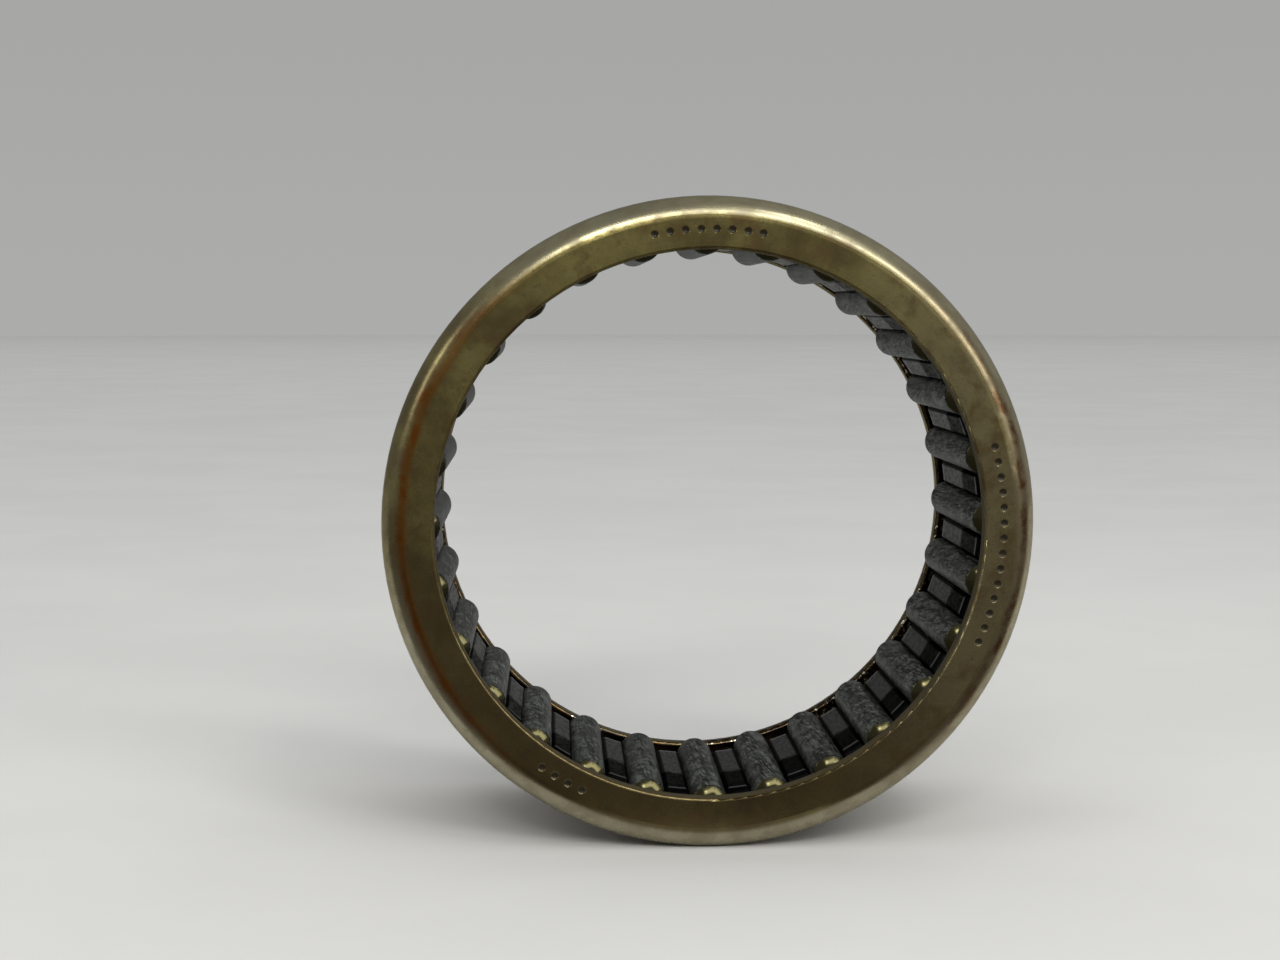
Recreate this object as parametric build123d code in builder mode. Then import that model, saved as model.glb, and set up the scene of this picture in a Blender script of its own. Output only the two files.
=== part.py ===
"""Drawn-cup needle roller bearing: an outer cup, a one-piece stamped cage and 28 needle rollers.

Millimetres. The bearing's axis is +Y, +Z is up, and the origin is the middle of the bearing.
The face with the flat, square-edged lip is at -Y, and the curled lip is at +Y.
"""
from build123d import *
import os
from math import cos, radians, sin

# ---- driving dimensions -------------------------------------------------------------------
SHAFT_DIAMETER = 44.45       # 1 3/4 in, the circle inside all the rollers
OUTSIDE_DIAMETER = 53.975    # 2 1/8 in, pressed into the housing
WIDTH = 25.4                 # 1 in, over both lips
ROLLER_COUNT = 28
ROLLER_DIAMETER = 3.175      # 1/8 in
ROLLER_LENGTH = 19.8
FIRST_ROLLER_ANGLE = 0.5     # degrees from +X towards +Z, where the cage happens to stand

# cup: one thin sheet, turned in at both ends to keep the rollers in
RACEWAY_PLAY = 0.05          # rollers to raceway, before the housing squeezes the cup
FLAT_LIP_BORE_RADIUS = 22.6
CURLED_LIP_BORE_RADIUS = 23.1
FLAT_LIP_THICKNESS = 1.5
CURLED_LIP_THICKNESS = 1.2
FLAT_LIP_CORNER = 1.9        # outside, where the wall turns into the lip
CURLED_LIP_CORNER = 2.3
FLAT_LIP_ROOT = 0.4          # inside the same corner
CURLED_LIP_ROOT = 0.8
FLAT_LIP_EDGE = 0.25         # round the bore of each lip
CURLED_LIP_EDGE = 0.4
# shallow punch marks in the flat face, in rows along a circle: each row's first angle in
# degrees from +X towards +Z, and its number of marks
PUNCH_ROWS = ((80.0, 8), (-23.5, 14), (-125.0, 4))
PUNCH_STEP = 3.0             # degrees from one mark to the next
PUNCH_ROW_RADIUS = 24.2
PUNCH_TIP_RADIUS = 0.6
PUNCH_DEPTH = 0.12

# cage: one sheet bent to a W, so that its rims run outside the rollers' centres and the
# middle of each bar inside them
CAGE_SHEET = 0.55
CAGE_LENGTH = 22.0
CAGE_GUIDE_PLAY = 0.45       # rims to raceway
BAR_INNER_RADIUS = 23.1
BAR_MIDDLE_LENGTH = 14.8     # between the two inner bends of a bar
SLOPE_LENGTH = 1.4           # along the axis, from a rim down to the middle of the bar
BEND_RADIUS = 0.7            # to the middle of the sheet
POCKET_LENGTH = 20.0
POCKET_WIDTH = 3.10          # under the roller's diameter, so a roller can't drop inwards
POCKET_PLAY = 0.05           # round the roller, where the bar passes its centre line
BEVEL = 0.25                 # on the inner edges of the bars

# rollers: rounded ends
DOME_HEIGHT = 0.55
DOME_EDGE = 0.25

# ---- worked out ---------------------------------------------------------------------------
OUTSIDE_RADIUS = OUTSIDE_DIAMETER / 2
ROLLER_RADIUS = ROLLER_DIAMETER / 2
PITCH_RADIUS = (SHAFT_DIAMETER + ROLLER_DIAMETER) / 2
RACEWAY_RADIUS = PITCH_RADIUS + ROLLER_RADIUS + RACEWAY_PLAY
RIM_MIDDLE_RADIUS = RACEWAY_RADIUS - CAGE_GUIDE_PLAY - CAGE_SHEET / 2
BAR_MIDDLE_RADIUS = BAR_INNER_RADIUS + CAGE_SHEET / 2
ROLLER_STEP = 360 / ROLLER_COUNT

FLAT_FACE = -WIDTH / 2
CURLED_FACE = WIDTH / 2
FLAT_LIP_BACK = FLAT_FACE + FLAT_LIP_THICKNESS
CURLED_LIP_BACK = CURLED_FACE - CURLED_LIP_THICKNESS

os.makedirs("parts", exist_ok=True)

# ---- cup: its wall and two lips turned round the axis --------------------------------------
# (radius, height along the axis, rounding) of each corner, in order round the section
cup_corners = (
    (FLAT_LIP_BORE_RADIUS, FLAT_FACE, FLAT_LIP_EDGE),
    (OUTSIDE_RADIUS, FLAT_FACE, FLAT_LIP_CORNER),
    (OUTSIDE_RADIUS, CURLED_FACE, CURLED_LIP_CORNER),
    (CURLED_LIP_BORE_RADIUS, CURLED_FACE, CURLED_LIP_EDGE),
    (CURLED_LIP_BORE_RADIUS, CURLED_LIP_BACK, CURLED_LIP_EDGE),
    (RACEWAY_RADIUS, CURLED_LIP_BACK, CURLED_LIP_ROOT),
    (RACEWAY_RADIUS, FLAT_LIP_BACK, FLAT_LIP_ROOT),
    (FLAT_LIP_BORE_RADIUS, FLAT_LIP_BACK, FLAT_LIP_EDGE),
)

punch_centres = []
for first_angle, mark_count in PUNCH_ROWS:
    for mark in range(mark_count):
        turn = radians(first_angle + mark * PUNCH_STEP)
        punch_centres.append(
            (
                PUNCH_ROW_RADIUS * cos(turn),
                FLAT_FACE + PUNCH_DEPTH - PUNCH_TIP_RADIUS,
                PUNCH_ROW_RADIUS * sin(turn),
            )
        )

with BuildPart() as cup:
    with BuildSketch(Plane.XY) as cup_section:
        with BuildLine():
            Polyline([(radius, height) for radius, height, _ in cup_corners], close=True)
        make_face()
        for radius, height, rounding in cup_corners:
            fillet(cup_section.vertices().sort_by_distance((radius, height))[0], rounding)
    revolve(axis=Axis.Y)

    # the round tip of the punch at each mark
    with Locations(punch_centres):
        Sphere(PUNCH_TIP_RADIUS, mode=Mode.SUBTRACT)

cup.part.label = "cup"
export_step(cup.part, "parts/cup.step")

# ---- cage: the bent sheet turned round the axis, then pierced -------------------------------
bar_end = BAR_MIDDLE_LENGTH / 2
rim_start = bar_end + SLOPE_LENGTH
rim_end = CAGE_LENGTH / 2
# a roller's centre line to the bevel's two edges, measured radially inwards
bevel_foot = PITCH_RADIUS - BAR_INNER_RADIUS - BEVEL
bevel_top = bevel_foot + 2 * BEVEL

with BuildPart() as cage:
    with BuildSketch(Plane.XY):
        with BuildLine() as sheet_middle:
            FilletPolyline(
                (RIM_MIDDLE_RADIUS, -rim_end),
                (RIM_MIDDLE_RADIUS, -rim_start),
                (BAR_MIDDLE_RADIUS, -bar_end),
                (BAR_MIDDLE_RADIUS, bar_end),
                (RIM_MIDDLE_RADIUS, rim_start),
                (RIM_MIDDLE_RADIUS, rim_end),
                radius=BEND_RADIUS,
            )
        trace(sheet_middle.line, line_width=CAGE_SHEET)
    revolve(axis=Axis.Y)

    # each pocket is a straight-sided slot, eased to the roller's round where it passes the
    # roller's middle, and bevelled on the inner edges of the bars
    with BuildSketch(Plane.XZ):
        with PolarLocations(PITCH_RADIUS, ROLLER_COUNT, start_angle=FIRST_ROLLER_ANGLE):
            Circle(ROLLER_RADIUS + POCKET_PLAY)
            Rectangle(4 * ROLLER_RADIUS, POCKET_WIDTH)
            Polygon(
                (-bevel_foot, -POCKET_WIDTH / 2),
                (-bevel_foot, POCKET_WIDTH / 2),
                (-bevel_top, POCKET_WIDTH / 2 + 2 * BEVEL),
                (-bevel_top, -POCKET_WIDTH / 2 - 2 * BEVEL),
                align=None,
            )
    extrude(amount=POCKET_LENGTH / 2, both=True, mode=Mode.SUBTRACT)

cage.part.label = "cage"
export_step(cage.part, "parts/cage.step")

# ---- rollers: each turned round its own axis, on the pitch circle ---------------------------
dome_radius = (ROLLER_RADIUS**2 + DOME_HEIGHT**2) / (2 * DOME_HEIGHT)
tip = ROLLER_LENGTH / 2
shoulder = tip - DOME_HEIGHT
along = Vector(0, 1, 0)

for number in range(ROLLER_COUNT):
    turn = radians(FIRST_ROLLER_ANGLE + number * ROLLER_STEP)
    outward = Vector(cos(turn), 0, sin(turn))
    centre = outward * PITCH_RADIUS
    with BuildPart() as roller:
        with BuildSketch(Plane(centre, x_dir=outward, z_dir=outward.cross(along))) as outline:
            with BuildLine():
                Line((0, tip), (0, -tip))
                RadiusArc((0, -tip), (ROLLER_RADIUS, -shoulder), -dome_radius)
                Line((ROLLER_RADIUS, -shoulder), (ROLLER_RADIUS, shoulder))
                RadiusArc((ROLLER_RADIUS, shoulder), (0, tip), -dome_radius)
            make_face()
            fillet(outline.vertices().group_by(Axis.X)[-1], DOME_EDGE)
        revolve(axis=Axis(centre, along))

    roller.part.label = f"roller_{number + 1:02d}"
    export_step(roller.part, f"parts/{roller.part.label}.step")
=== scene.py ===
import math

import bpy
from mathutils import Matrix, Vector


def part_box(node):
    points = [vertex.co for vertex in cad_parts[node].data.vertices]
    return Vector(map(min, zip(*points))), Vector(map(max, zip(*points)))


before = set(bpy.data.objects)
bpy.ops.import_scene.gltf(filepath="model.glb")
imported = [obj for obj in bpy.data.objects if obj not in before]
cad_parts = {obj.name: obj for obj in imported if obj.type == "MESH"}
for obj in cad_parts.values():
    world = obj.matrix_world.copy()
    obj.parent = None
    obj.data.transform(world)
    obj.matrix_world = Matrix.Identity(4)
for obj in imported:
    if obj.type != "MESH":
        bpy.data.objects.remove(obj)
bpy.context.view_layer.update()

# The bearing stands on its outside cylinder. Its axis is Y and its stamped flat lip faces -Y.
MILLIMETRE = 0.001
CUP_LOW, CUP_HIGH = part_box("cup")
OUTSIDE_RADIUS = (CUP_HIGH.x - CUP_LOW.x) / 2 / MILLIMETRE
HALF_WIDTH = (CUP_HIGH.y - CUP_LOW.y) / 2 / MILLIMETRE
RACEWAY_RADIUS = 25.45
FLAT_LIP_BORE_RADIUS = 22.6
CURLED_LIP_BORE_RADIUS = 23.1
FLAT_LIP_CORNER = 1.9
CORNER_START_RADIUS = OUTSIDE_RADIUS - FLAT_LIP_CORNER
FLAT_LIP_THICKNESS = 1.5
CURLED_LIP_THICKNESS = 1.2
PUNCH_ROW_RADIUS = 24.2
PUNCH_HALF_WIDTH = 0.50

ROLLER_NODES = sorted(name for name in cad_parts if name.startswith("roller_"))
PITCH_RADIUS = 23.8125
ROLLER_PITCH = 2 * math.pi / len(ROLLER_NODES)
FIRST_ROLLER_ANGLE = math.radians(0.5)
ROLLER_LOW, ROLLER_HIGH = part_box(ROLLER_NODES[0])
ROLLER_HALF_LENGTH = (ROLLER_HIGH.y - ROLLER_LOW.y) / 2 / MILLIMETRE
DOME_HEIGHT = 0.55
# sideways from a roller's middle to where the flat of the next bar starts
BAR_FLAT_START = 1.80
# along the axis from the middle to where a bar starts to bend outwards
BAR_BEND = 7.1



def rgb(red, green, blue):
    return (red, green, blue, 1.0)


# How bright the steels are at grazing angles, where bare metal would mirror the room.
EDGE_TINT = rgb(0.38, 0.38, 0.37)
OLIVE_EDGE_TINT = rgb(0.50, 0.47, 0.38)
OIL_IOR = 1.45

# The cup's oil film and what lies on it, as linear colours.
FILM_BROWN, FILM_OLIVE = rgb(0.125, 0.095, 0.028), rgb(0.290, 0.245, 0.082)
FILM_SHADED_LOW, FILM_LIT_PALE = rgb(0.078, 0.050, 0.022), rgb(0.330, 0.285, 0.165)
STAIN_BROWN, SPECK_GREY = rgb(0.095, 0.062, 0.020), rgb(0.070, 0.062, 0.040)
WORN_AND_HIGHLIT_STEEL = rgb(0.400, 0.375, 0.265)
VARNISH_RED, VARNISH_SHADED = rgb(0.210, 0.060, 0.005), rgb(0.095, 0.036, 0.008)
OLD_DIRT, DULL_BROWN = rgb(0.016, 0.013, 0.008), rgb(0.058, 0.046, 0.022)
AMBER_DEEP, AMBER_THIN = rgb(0.024, 0.013, 0.006), rgb(0.110, 0.068, 0.022)
OIL_GLINT = rgb(0.950, 0.900, 0.720)
CURLED_GOLD, GROOVE_SHADE = rgb(0.170, 0.138, 0.060), rgb(0.040, 0.024, 0.010)
# The cage.
WET_DARK, WET_LIGHT = rgb(0.006, 0.007, 0.007), rgb(0.017, 0.018, 0.018)
FAR_HALF_LIT, RIM_BROWN = rgb(0.044, 0.047, 0.045), rgb(0.030, 0.021, 0.011)
BEND_HIGHLIGHT, CREVICE_SHADE = rgb(0.240, 0.250, 0.250), rgb(0.004, 0.004, 0.004)
RIM_GLINT = rgb(0.600, 0.550, 0.400)
# The rollers.
ROLLER_DARK, ROLLER_LIGHT = rgb(0.024, 0.026, 0.026), rgb(0.048, 0.051, 0.050)
GREASE_GREY, DOME_GOLD = rgb(0.130, 0.142, 0.126), rgb(0.062, 0.056, 0.026)
# The stage.
BOARD_DARK, BOARD_LIGHT = rgb(0.690, 0.690, 0.680), rgb(0.715, 0.715, 0.705)
CARD_GREY = rgb(0.13, 0.12, 0.11)
WHITE, COOL_WHITE, WARM_WHITE = (1.0, 1.0, 1.0), (1.0, 0.99, 0.95), (1.0, 0.97, 0.90)

SENSOR_WIDTH = 36.0
LENS = 57.2
CAMERA_PLACE = (-0.01295, -0.1776, 0.0180)
CAMERA_YAW_RIGHT = 0.0433
CAMERA_PITCH_DOWN = 0.0854

# Each light's name, its left and right ends, its height, its radiance and its colour.
STEEL_LIGHTS = (
    ("strip_left", (-0.13, -0.41, 0.235), (0.20, -0.40, 0.34), 0.12, 5.5, COOL_WHITE),
    ("strip_right", (0.21, -0.40, 0.33), (0.40, -0.37, 0.10), 0.12, 5.5, COOL_WHITE),
    ("lamp_above", (0.11, -0.24, 0.36), (0.18, -0.22, 0.36), 0.08, 8.8, COOL_WHITE),
    ("lamp_left", (-0.12, -0.43, 0.28), (-0.05, -0.43, 0.28), 0.07, 9.0, COOL_WHITE),
    ("key_left", (-0.50, -0.20, 0.22), (-0.42, -0.32, 0.22), 0.14, 3.2, WARM_WHITE),
)
OVERHEAD_LIGHT = ("overhead", (-3.0, 0.0, 2.5), (3.0, 0.0, 2.5), 6.0, 0.44, WHITE)


# ---------------------------------------------------------------------------------------------
# Shader nodes
# ---------------------------------------------------------------------------------------------

class Shader:
    """One node material. Each method adds a node and returns its output socket."""

    def __init__(self, name):
        self.material = bpy.data.materials.new(name)
        self.material.use_nodes = True
        self.tree = self.material.node_tree
        self.surface = self.tree.nodes["Principled BSDF"]

    def node(self, kind, inputs, output=0, **settings):
        made = self.tree.nodes.new(kind)
        for name, value in settings.items():
            setattr(made, name, value)
        for key, value in inputs.items():
            self.put(made.inputs[key], value)
        return made.outputs[output]

    def put(self, socket, value):
        if isinstance(value, bpy.types.NodeSocket):
            self.tree.links.new(value, socket)
        else:
            socket.default_value = value

    def set(self, **values):
        """Sets the Principled shader's own sockets, whose names have _ for each space."""
        for name, value in values.items():
            self.put(self.surface.inputs[name.replace("_", " ")], value)

    def math(self, operation, a, b=0.0, c=0.0):
        return self.node("ShaderNodeMath", {0: a, 1: b, 2: c}, operation=operation)

    def place(self):
        """The row frame's x, y and z in millimetres, which stay with the body in every pose."""
        coordinates = self.node("ShaderNodeTexCoord", {}, output="Object")
        scaled = self.node(
            "ShaderNodeVectorMath", {0: coordinates, 3: 1 / MILLIMETRE}, operation="SCALE"
        )
        split = self.tree.nodes.new("ShaderNodeSeparateXYZ")
        self.put(split.inputs[0], scaled)
        return split.outputs[0], split.outputs[1], split.outputs[2]

    def vector(self, x, y, z):
        return self.node("ShaderNodeCombineXYZ", {0: x, 1: y, 2: z})

    def noise(self, vector, scale=1.0, detail=3.0, roughness=0.5, distortion=0.0):
        return self.node(
            "ShaderNodeTexNoise",
            {"Vector": vector, "Scale": scale, "Detail": detail,
             "Roughness": roughness, "Distortion": distortion},
        )

    def step(self, value, low, high, out_low=0.0, out_high=1.0):
        """A smooth step from out_low at low to out_high at high."""
        return self.node(
            "ShaderNodeMapRange",
            {"Value": value, "From Min": low, "From Max": high,
             "To Min": out_low, "To Max": out_high},
            interpolation_type="SMOOTHSTEP",
        )

    def band(self, value, start, end, soft):
        """1 between start and end, falling to 0 over soft on each side."""
        rise = self.step(value, start - soft, start)
        fall = self.step(value, end, end + soft, 1.0, 0.0)
        return self.math("MULTIPLY", rise, fall)

    def mix(self, factor, a, b):
        """Colour a where factor is 0 and b where it is 1."""
        made = self.tree.nodes.new("ShaderNodeMix")
        made.data_type = "RGBA"
        self.put(made.inputs[0], factor)
        self.put(made.inputs[6], a)
        self.put(made.inputs[7], b)
        return made.outputs[2]

    def lerp(self, factor, a, b):
        """Number a where factor is 0 and b where it is 1."""
        return self.node("ShaderNodeMix", {0: factor, 2: a, 3: b}, data_type="FLOAT")

    def length(self, a, b):
        """How far the point (a, b) is from the origin."""
        squares = self.math("ADD", self.math("MULTIPLY", a, a), self.math("MULTIPLY", b, b))
        return self.math("SQRT", squares)

    def roller_place(self, x, z):
        """How far the point lies to one side of the nearest roller's middle, in millimetres,
        and that roller's number."""
        turn = self.math("SUBTRACT", self.math("ARCTAN2", z, x), FIRST_ROLLER_ANGLE)
        phase = self.math("DIVIDE", turn, ROLLER_PITCH)
        index = self.math("FLOOR", self.math("ADD", phase, 0.5))
        local = self.math("MULTIPLY", self.math("SUBTRACT", phase, index), ROLLER_PITCH)
        return self.math("MULTIPLY", self.length(x, z), self.math("SINE", local)), index

    def glint_beads(self, place, low, high, most=1.0):
        """Spots for painted glints on small beads of oil, up to most, in patches."""
        beads = self.noise(place, scale=2.8, detail=1.0)
        patch = self.step(self.noise(place, scale=0.20, detail=1.0), 0.52, 0.58)
        return self.math("MULTIPLY", self.step(beads, low, high, 0.0, most), patch)

    def bump(self, height, distance, strength=1.0, normal=None):
        """height, from 0 to 1, raises the surface by distance in millimetres."""
        inputs = {"Height": height, "Distance": distance * MILLIMETRE, "Strength": strength}
        if normal is not None:
            inputs["Normal"] = normal
        return self.node("ShaderNodeBump", inputs)


# ---------------------------------------------------------------------------------------------
# Materials
# ---------------------------------------------------------------------------------------------

def cup_steel():
    """Drawn steel under a dried olive-gold oil film. The corners are worn pale and carry a painted
    highlight, red-brown varnish lies at the sides, the lips' bores are dull, and wet amber oil
    lines the inside."""
    s = Shader("cup_steel_oiled")
    x, y, z = s.place()
    radius = s.length(x, z)
    angle = s.math("ARCTAN2", z, x)
    place = s.vector(x, y, z)

    clouds = s.noise(place, scale=0.16, detail=4.0, roughness=0.6)
    blotches = s.noise(place, scale=0.50, detail=4.0, roughness=0.6, distortion=0.2)
    specks = s.noise(place, scale=3.2, detail=2.0)

    # The oil film outside is painted darker and browner towards the bottom, as painted shade where
    # the face mirrors the shaded floor in front.
    on_cylinder = s.step(radius, OUTSIDE_RADIUS - 0.60, OUTSIDE_RADIUS - 0.05)
    film = s.mix(s.step(clouds, 0.30, 0.68), FILM_BROWN, FILM_OLIVE)
    low = s.step(z, -OUTSIDE_RADIUS * 0.8, OUTSIDE_RADIUS * 0.7, 1.0, 0.0)
    film = s.mix(s.math("MULTIPLY", low, 0.66), film, FILM_SHADED_LOW)
    # The film is painted paler and greyer towards +X, as painted light on the side the lamps
    # brighten.
    film = s.mix(s.step(x, 8.0, 22.0, 0.0, 0.42), film, FILM_LIT_PALE)
    stain = s.math("MULTIPLY", s.step(blotches, 0.44, 0.68, 0.0, 0.80),
                   s.lerp(on_cylinder, 1.0, 0.55))
    film = s.mix(stain, film, STAIN_BROWN)
    film = s.mix(s.step(specks, 0.60, 0.72, 0.0, 0.35), film, SPECK_GREY)

    # The corner radius is painted paler: partly worn steel, partly a painted highlight where the
    # lamps catch it. The upper left, which the highlight misses, is left darker.
    on_corner = s.math(
        "MULTIPLY",
        s.step(radius, CORNER_START_RADIUS + 0.15, CORNER_START_RADIUS + 0.65),
        s.step(s.math("ABSOLUTE", y), HALF_WIDTH - 3.0, HALF_WIDTH - 1.8),
    )
    worn_and_highlight = s.math("MULTIPLY", on_corner, s.step(blotches, 0.36, 0.62, 0.74, 0.52))
    upper_left = s.math(
        "MULTIPLY",
        s.step(x, -OUTSIDE_RADIUS * 0.8, -OUTSIDE_RADIUS * 0.5, 0.8, 0.0),
        s.step(z, -10.0, 0.0),
    )
    worn_and_highlight = s.math("MULTIPLY", worn_and_highlight, s.math("SUBTRACT", 1.0, upper_left))
    film = s.mix(worn_and_highlight, film, WORN_AND_HIGHLIT_STEEL)

    # Red-brown varnish where the face turns into the corner, on the two sides. It lies further
    # out on the +X side.
    sides = s.step(s.math("ABSOLUTE", s.math("DIVIDE", x, OUTSIDE_RADIUS)), 0.40, 0.95)
    shift = s.step(x, -OUTSIDE_RADIUS, OUTSIDE_RADIUS, 0.0, 0.62)
    wavy = s.math("MULTIPLY", s.math("SUBTRACT", clouds, 0.5), 1.4)
    edge = s.math("SUBTRACT", s.math("ADD", radius, wavy), shift)
    corner = s.band(edge, CORNER_START_RADIUS + 0.10, CORNER_START_RADIUS + 0.30, 0.60)
    near_face = s.step(y, 0.0, 1.0, 1.0, 0.0)
    varnish = s.math("MULTIPLY", s.math("MULTIPLY", sides, corner), near_face)
    patchy = s.step(blotches, 0.34, 0.60, 0.95, 0.45)
    # On the +X side the varnish is painted darker, as painted shade where the highlight misses it.
    red_brown = s.mix(s.step(x, -5.0, 15.0), VARNISH_RED, VARNISH_SHADED)
    film = s.mix(s.math("MULTIPLY", varnish, patchy), film, red_brown)

    # Old dirt fills the punch marks.
    from_row = s.math("SUBTRACT", radius, PUNCH_ROW_RADIUS)
    in_row = s.band(from_row, -PUNCH_HALF_WIDTH, PUNCH_HALF_WIDTH, 0.10)
    below_face = s.step(y, -HALF_WIDTH + 0.010, -HALF_WIDTH + 0.050)
    in_mark = s.math("MULTIPLY", s.math("MULTIPLY", below_face, in_row), near_face)
    film = s.mix(in_mark, film, OLD_DIRT)

    # The wall of the flat lip's bore is dull and brown.
    on_lip_face = s.step(s.math("ABSOLUTE", y), HALF_WIDTH - 0.22, HALF_WIDTH - 0.05)
    dull = s.math(
        "MULTIPLY",
        s.step(radius, FLAT_LIP_BORE_RADIUS + 0.02, FLAT_LIP_BORE_RADIUS + 0.14, 1.0, 0.0),
        s.math("SUBTRACT", 1.0, on_lip_face),
    )
    film = s.mix(dull, film, DULL_BROWN)

    # Wet amber oil inside the cup.
    flat_lip_back = FLAT_LIP_THICKNESS - HALF_WIDTH
    curled_lip_back = HALF_WIDTH - CURLED_LIP_THICKNESS
    behind_lips = s.math(
        "MULTIPLY",
        s.step(y, flat_lip_back - 0.25, flat_lip_back - 0.05),
        s.step(y, curled_lip_back + 0.05, curled_lip_back + 0.25, 1.0, 0.0),
    )
    within_raceway = s.step(radius, RACEWAY_RADIUS + 0.05, RACEWAY_RADIUS + 0.2, 1.0, 0.0)
    inside = s.math("MULTIPLY", within_raceway, behind_lips)
    amber = s.mix(s.step(blotches, 0.40, 0.62), AMBER_DEEP, AMBER_THIN)
    colour = s.mix(inside, film, amber)
    # Painted glints: near-white spots on beads of oil behind the curled lip.
    beads = s.math("MULTIPLY", s.glint_beads(place, 0.56, 0.62), inside)
    glint = s.math("MULTIPLY", beads, s.step(y, 6.0, 7.0))
    colour = s.mix(glint, colour, OIL_GLINT)
    # The curled lip's bore is gold, with painted shade darkening the groove round it.
    bore_edge = s.step(
        radius, CURLED_LIP_BORE_RADIUS + 0.05, CURLED_LIP_BORE_RADIUS + 0.25, 1.0, 0.0
    )
    curled = s.math("MULTIPLY", bore_edge, s.step(y, 0.0, 0.1))
    colour = s.mix(curled, colour, CURLED_GOLD)
    groove_shade = s.math("MULTIPLY", curled, s.band(y, HALF_WIDTH - 0.90, HALF_WIDTH - 0.40, 0.12))
    colour = s.mix(groove_shade, colour, GROOVE_SHADE)

    # Fine turning lines: rings on the face, circumferential lines on the cylinder.
    rings = s.vector(s.math("MULTIPLY", radius, 9.0), s.math("MULTIPLY", angle, 1.5), 0.0)
    face_lines = s.noise(rings, scale=1.0, detail=2.0)
    hoops = s.vector(s.math("MULTIPLY", y, 7.0), s.math("MULTIPLY", angle, 2.0), 3.0)
    cylinder_lines = s.noise(hoops, scale=1.0, detail=3.0)
    lines = s.lerp(on_cylinder, face_lines, cylinder_lines)
    drops = s.noise(place, scale=2.4, detail=1.0, distortion=0.4)
    relief = s.bump(s.lerp(inside, lines, s.math("MULTIPLY", drops, 5.0)), 0.02, 0.30)
    relief = s.bump(clouds, 0.10, 0.25, relief)

    rough = s.lerp(s.step(blotches, 0.45, 0.70), 0.27, 0.40)
    rough = s.lerp(dull, rough, 0.80)
    rough = s.lerp(inside, rough, 0.10)
    matt = s.math("MAXIMUM", dull, in_mark)
    s.set(Base_Color=colour, Metallic=s.lerp(matt, 1.0, 0.15), Roughness=rough, Normal=relief,
          Specular_Tint=OLIVE_EDGE_TINT,
          Coat_Weight=s.lerp(s.math("MAXIMUM", matt, varnish), 0.55, 0.0),
          Coat_Roughness=0.20, Coat_IOR=OIL_IOR)
    return s.material


def cage_steel():
    """Charcoal sheet steel with a thin oil film. The half of each bar nearer the flat lip is
    darker and the far half is painted paler, as painted shade and light, and painted shade
    blackens the crevices beside the rollers."""
    s = Shader("cage_steel_oiled")
    x, y, z = s.place()
    place = s.vector(x, y, z)
    radius = s.length(x, z)
    from_roller, _ = s.roller_place(x, z)
    clouds = s.noise(place, scale=0.35, detail=4.0, roughness=0.6)
    grain = s.noise(s.vector(x, s.math("MULTIPLY", y, 0.35), z), scale=3.0, detail=3.0)

    colour = s.mix(s.step(clouds, 0.38, 0.64), WET_DARK, WET_LIGHT)
    # The far half of each bar is painted paler, as painted light, and the near half stays darker
    # as painted shade.
    wobble = s.math("MULTIPLY", s.math("SUBTRACT", clouds, 0.5), 2.0)
    far_half_lit = s.step(s.math("ADD", y, wobble), -1.9, -0.9)
    colour = s.mix(s.math("MULTIPLY", far_half_lit, 0.75), colour, FAR_HALF_LIT)
    rims = s.step(radius, 23.9, 24.3)
    colour = s.mix(s.math("MULTIPLY", rims, 0.6), colour, RIM_BROWN)
    # A highlight is painted on the bends at both ends of a bar.
    bend_highlight = s.band(s.math("ABSOLUTE", y), BAR_BEND - 0.12, BAR_BEND + 0.10, 0.12)
    colour = s.mix(s.math("MULTIPLY", bend_highlight, 0.8), colour, BEND_HIGHLIGHT)
    # The bevels and side walls of the bars lie nearer a roller's middle than the flat of a bar.
    crevice = s.step(
        s.math("ABSOLUTE", from_roller), BAR_FLAT_START - 0.05, BAR_FLAT_START + 0.07, 1.0, 0.0
    )
    on_bar = s.step(
        s.math("ABSOLUTE", y), ROLLER_HALF_LENGTH - 0.2, ROLLER_HALF_LENGTH + 0.2, 1.0, 0.0
    )
    # Painted shade: the crevices beside the rollers are painted black.
    crevice_shade = s.math("MULTIPLY", crevice, on_bar)
    colour = s.mix(crevice_shade, colour, CREVICE_SHADE)

    rough = s.lerp(s.step(grain, 0.40, 0.65), 0.36, 0.52)
    rough = s.lerp(crevice_shade, rough, 0.75)
    # Painted glints: pale spots on beads of oil on the rim beyond the bars.
    far_rim = s.math("MULTIPLY", rims, s.step(y, BAR_BEND + 0.3, BAR_BEND + 0.8))
    glint = s.math("MULTIPLY", s.glint_beads(place, 0.58, 0.66, 0.7), far_rim)
    colour = s.mix(glint, colour, RIM_GLINT)
    rough = s.lerp(glint, rough, 0.12)
    relief = s.bump(grain, 0.006, 0.15)
    s.set(Base_Color=colour, Metallic=s.lerp(far_half_lit, 1.0, 0.70), Roughness=rough, Normal=relief,
          Specular_Tint=EDGE_TINT, Coat_Weight=s.lerp(far_half_lit, 0.0, 0.06), Coat_Roughness=0.25,
          Coat_IOR=OIL_IOR)
    return s.material


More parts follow.
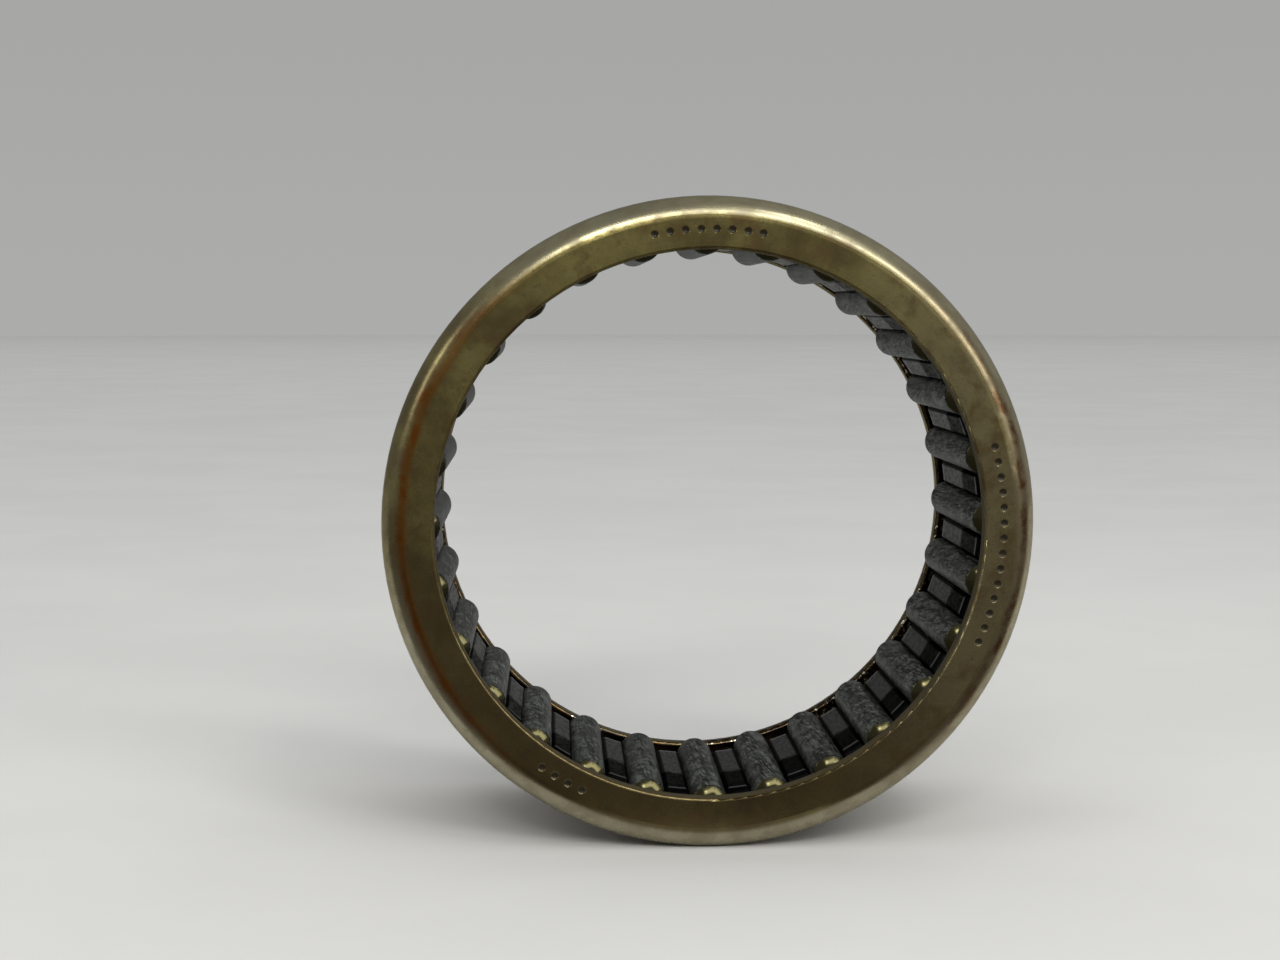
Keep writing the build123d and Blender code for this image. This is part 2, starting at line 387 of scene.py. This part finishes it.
def roller_steel():
    """Ground roller steel, dark with a greasy film that has been wiped into streaks, laid thicker
    on one flank of each roller, partly as painted sheen. The domed ends are polished and wet with
    amber oil."""
    s = Shader("roller_steel_greased")
    x, y, z = s.place()
    across, index = s.roller_place(x, z)
    outward = s.math("SUBTRACT", s.length(x, z), PITCH_RADIUS)

    # Grey grease lies in streaks that run slantwise along the roller, and in wipe marks across it.
    slant = s.math("ADD", across, s.math("MULTIPLY", y, 0.12))
    own = s.vector(slant, s.math("ADD", y, s.math("MULTIPLY", index, 37.0)), outward)
    stretched = s.node("ShaderNodeVectorMath", {0: own, 1: (1.9, 0.24, 1.9)}, operation="MULTIPLY")
    streaks = s.noise(stretched, scale=1.0, detail=4.0, roughness=0.68, distortion=0.3)
    squeezed = s.node("ShaderNodeVectorMath", {0: own, 1: (0.60, 1.1, 0.60)}, operation="MULTIPLY")
    wipes = s.noise(squeezed, scale=1.0, detail=3.0, roughness=0.6, distortion=1.2)
    fine = s.noise(own, scale=5.0, detail=3.0)

    brushed = s.node("ShaderNodeVectorMath", {0: own, 1: (7.0, 0.55, 7.0)}, operation="MULTIPLY")
    hairs = s.noise(brushed, scale=1.0, detail=2.0, roughness=0.6, distortion=0.3)

    colour = s.mix(s.step(fine, 0.35, 0.65), ROLLER_DARK, ROLLER_LIGHT)
    thick = s.step(wipes, 0.40, 0.58, 0.35, 1.0)
    smear = s.math("MULTIPLY", s.step(streaks, 0.43, 0.64, 0.0, 0.82), thick)
    combed = s.math("MULTIPLY", s.step(hairs, 0.48, 0.59, 0.0, 0.85), thick)
    # One flank of each roller gets a grey haze: partly greasy film, partly painted sheen where
    # that flank catches the light.
    flank_sheen = s.math("MULTIPLY", s.step(across, -1.4, 0.4, 0.38, 0.0), thick)
    film = s.math("MAXIMUM", s.math("MAXIMUM", smear, combed), flank_sheen)
    colour = s.mix(film, colour, GREASE_GREY)

    dome = s.step(s.math("ABSOLUTE", y), ROLLER_HALF_LENGTH - DOME_HEIGHT - 0.02,
                  ROLLER_HALF_LENGTH - DOME_HEIGHT + 0.12)
    colour = s.mix(dome, colour, DOME_GOLD)

    film = s.math("MULTIPLY", film, s.math("SUBTRACT", 1.0, dome))
    rough = s.lerp(film, 0.40, 0.62)
    rough = s.lerp(dome, rough, 0.14)
    relief = s.bump(streaks, 0.02, 0.20)
    s.set(Base_Color=colour, Metallic=s.lerp(film, 1.0, 0.05), Roughness=rough, Normal=relief,
          Specular_Tint=EDGE_TINT, Coat_Weight=0.06, Coat_Roughness=0.25, Coat_IOR=OIL_IOR)
    return s.material


def floor_board():
    """Pale matt laminate with a faint mottle."""
    s = Shader("pale_board")
    x, y, z = s.place()
    mottle = s.noise(s.vector(x, y, z), scale=0.02, detail=5.0, roughness=0.6)
    colour = s.mix(s.step(mottle, 0.35, 0.65), BOARD_DARK, BOARD_LIGHT)
    s.set(Base_Color=colour, Roughness=0.9, Specular_IOR_Level=0.0)
    return s.material


def give(node, material):
    """The CAD node shows material in each of its slots."""
    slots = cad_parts[node].data.materials
    for place in range(len(slots)):
        slots[place] = material


# ---------------------------------------------------------------------------------------------
# Stage: camera, floor, lights and world
# ---------------------------------------------------------------------------------------------

def make_camera():
    """Just above the bearing's axis and in front of its flat lip, a little to the left."""
    data = bpy.data.cameras.new("camera")
    data.sensor_width = SENSOR_WIDTH
    data.lens = LENS
    data.clip_start = 0.005
    data.clip_end = 20.0
    camera = bpy.data.objects.new("camera", data)
    bpy.context.scene.collection.objects.link(camera)
    camera.location = CAMERA_PLACE
    camera.rotation_euler = (math.pi / 2 - CAMERA_PITCH_DOWN, 0.0, -CAMERA_YAW_RIGHT)
    bpy.context.scene.camera = camera


def make_floor():
    """A wide round board that the bearing stands on, with smaller faces near the middle."""
    reach, rings, spokes = 3.0, 12, 96
    height = CUP_LOW.z
    vertices = [(0.0, 0.0, height)]
    faces = []
    for ring in range(1, rings + 1):
        size = reach * (ring / rings) ** 2
        for spoke in range(spokes):
            turn = 2 * math.pi * spoke / spokes
            vertices.append((size * math.cos(turn), size * math.sin(turn), height))
    for spoke in range(spokes):
        following = (spoke + 1) % spokes
        faces.append((0, 1 + spoke, 1 + following))
        for ring in range(rings - 1):
            inner, outer = 1 + ring * spokes, 1 + (ring + 1) * spokes
            faces.append((inner + spoke, outer + spoke, outer + following, inner + following))
    mesh = bpy.data.meshes.new("floor")
    mesh.from_pydata(vertices, [], faces)
    floor = bpy.data.objects.new("floor", mesh)
    bpy.context.scene.collection.objects.link(floor)
    mesh.materials.append(floor_board())


def softbox(name, left, right, height, radiance, colour):
    """A rectangular area light from left to right, which faces the bearing's centre. radiance is
    how bright its surface is."""
    left, right = Vector(left), Vector(right)
    data = bpy.data.lights.new(name, "AREA")
    data.shape = "RECTANGLE"
    data.size, data.size_y = (right - left).length, height
    data.energy = radiance * math.pi * data.size * data.size_y
    data.color = colour
    light = bpy.data.objects.new(name, data)
    bpy.context.scene.collection.objects.link(light)
    along = (right - left).normalized()
    middle = (left + right) / 2
    outward = (middle - along * middle.dot(along)).normalized()
    turn = Matrix((along, outward.cross(along), outward)).transposed()
    light.matrix_world = Matrix.Translation(middle) @ turn.to_4x4()
    return light


def make_world():
    """Pale grey to the eye. What lights the scene and what the steel mirrors is a little brighter
    behind, above and to the right."""
    world = bpy.data.worlds.new("world")
    bpy.context.scene.world = world
    world.use_nodes = True
    tree = world.node_tree
    background = tree.nodes["Background"]
    direction = tree.nodes.new("ShaderNodeTexCoord").outputs["Generated"]
    split = tree.nodes.new("ShaderNodeSeparateXYZ")
    tree.links.new(direction, split.inputs[0])

    def span(socket, low, high, out_low, out_high):
        made = tree.nodes.new("ShaderNodeMapRange")
        made.interpolation_type = "SMOOTHSTEP"
        tree.links.new(socket, made.inputs["Value"])
        limits = {"From Min": low, "From Max": high, "To Min": out_low, "To Max": out_high}
        for key, value in limits.items():
            made.inputs[key].default_value = value
        return made.outputs[0]

    def arithmetic(operation, a, b):
        made = tree.nodes.new("ShaderNodeMath")
        made.operation = operation
        tree.links.new(a, made.inputs[0])
        tree.links.new(b, made.inputs[1])
        return made.outputs[0]

    behind = span(split.outputs[1], -0.30, 0.70, 0.27, 0.30)
    above = span(split.outputs[2], 0.10, 0.90, 0.0, 0.08)
    right = span(split.outputs[0], -0.10, 0.35, 0.0, 0.12)
    total = arithmetic("ADD", arithmetic("ADD", behind, above), right)
    tree.links.new(total, background.inputs["Strength"])
    background.inputs["Color"].default_value = rgb(1.0, 1.0, 0.99)

    backdrop = tree.nodes.new("ShaderNodeBackground")
    backdrop.inputs["Color"].default_value = rgb(1.0, 1.01, 0.99)
    tree.links.new(span(split.outputs[2], -0.02, 0.16, 0.413, 0.385), backdrop.inputs["Strength"])
    seen = tree.nodes.new("ShaderNodeLightPath").outputs["Is Camera Ray"]
    either = tree.nodes.new("ShaderNodeMixShader")
    tree.links.new(seen, either.inputs[0])
    tree.links.new(background.outputs[0], either.inputs[1])
    tree.links.new(backdrop.outputs[0], either.inputs[2])
    tree.links.new(either.outputs[0], tree.nodes["World Output"].inputs["Surface"])


def make_flag():
    """A dark card on the floor in front of the bearing, which only the steel's reflections see: a
    sheet of shade where the floor in front would be lit.
    """
    in_front_of_cup, above_floor = 0.006, 0.0005
    near, far, half = CUP_LOW.y - in_front_of_cup, -0.70, 0.60
    height = CUP_LOW.z + above_floor
    mesh = bpy.data.meshes.new("flag")
    mesh.from_pydata(
        [(-half, far, height), (half, far, height), (half, near, height), (-half, near, height)],
        [], [(0, 1, 2, 3)],
    )
    flag = bpy.data.objects.new("flag", mesh)
    bpy.context.scene.collection.objects.link(flag)
    s = Shader("dark_card")
    s.set(Base_Color=CARD_GREY, Roughness=0.9)
    mesh.materials.append(s.material)
    flag.visible_camera = False
    flag.visible_diffuse = False
    flag.visible_shadow = False


make_camera()
make_floor()
make_flag()
for light in STEEL_LIGHTS:
    softbox(*light)
# It lights the floor and the grease, and the steel does not mirror it.
softbox(*OVERHEAD_LIGHT).visible_glossy = False
make_world()
bpy.context.scene.view_settings.view_transform = "Standard"

give("cup", cup_steel())
give("cage", cage_steel())
greased = roller_steel()
for roller in ROLLER_NODES:
    give(roller, greased)
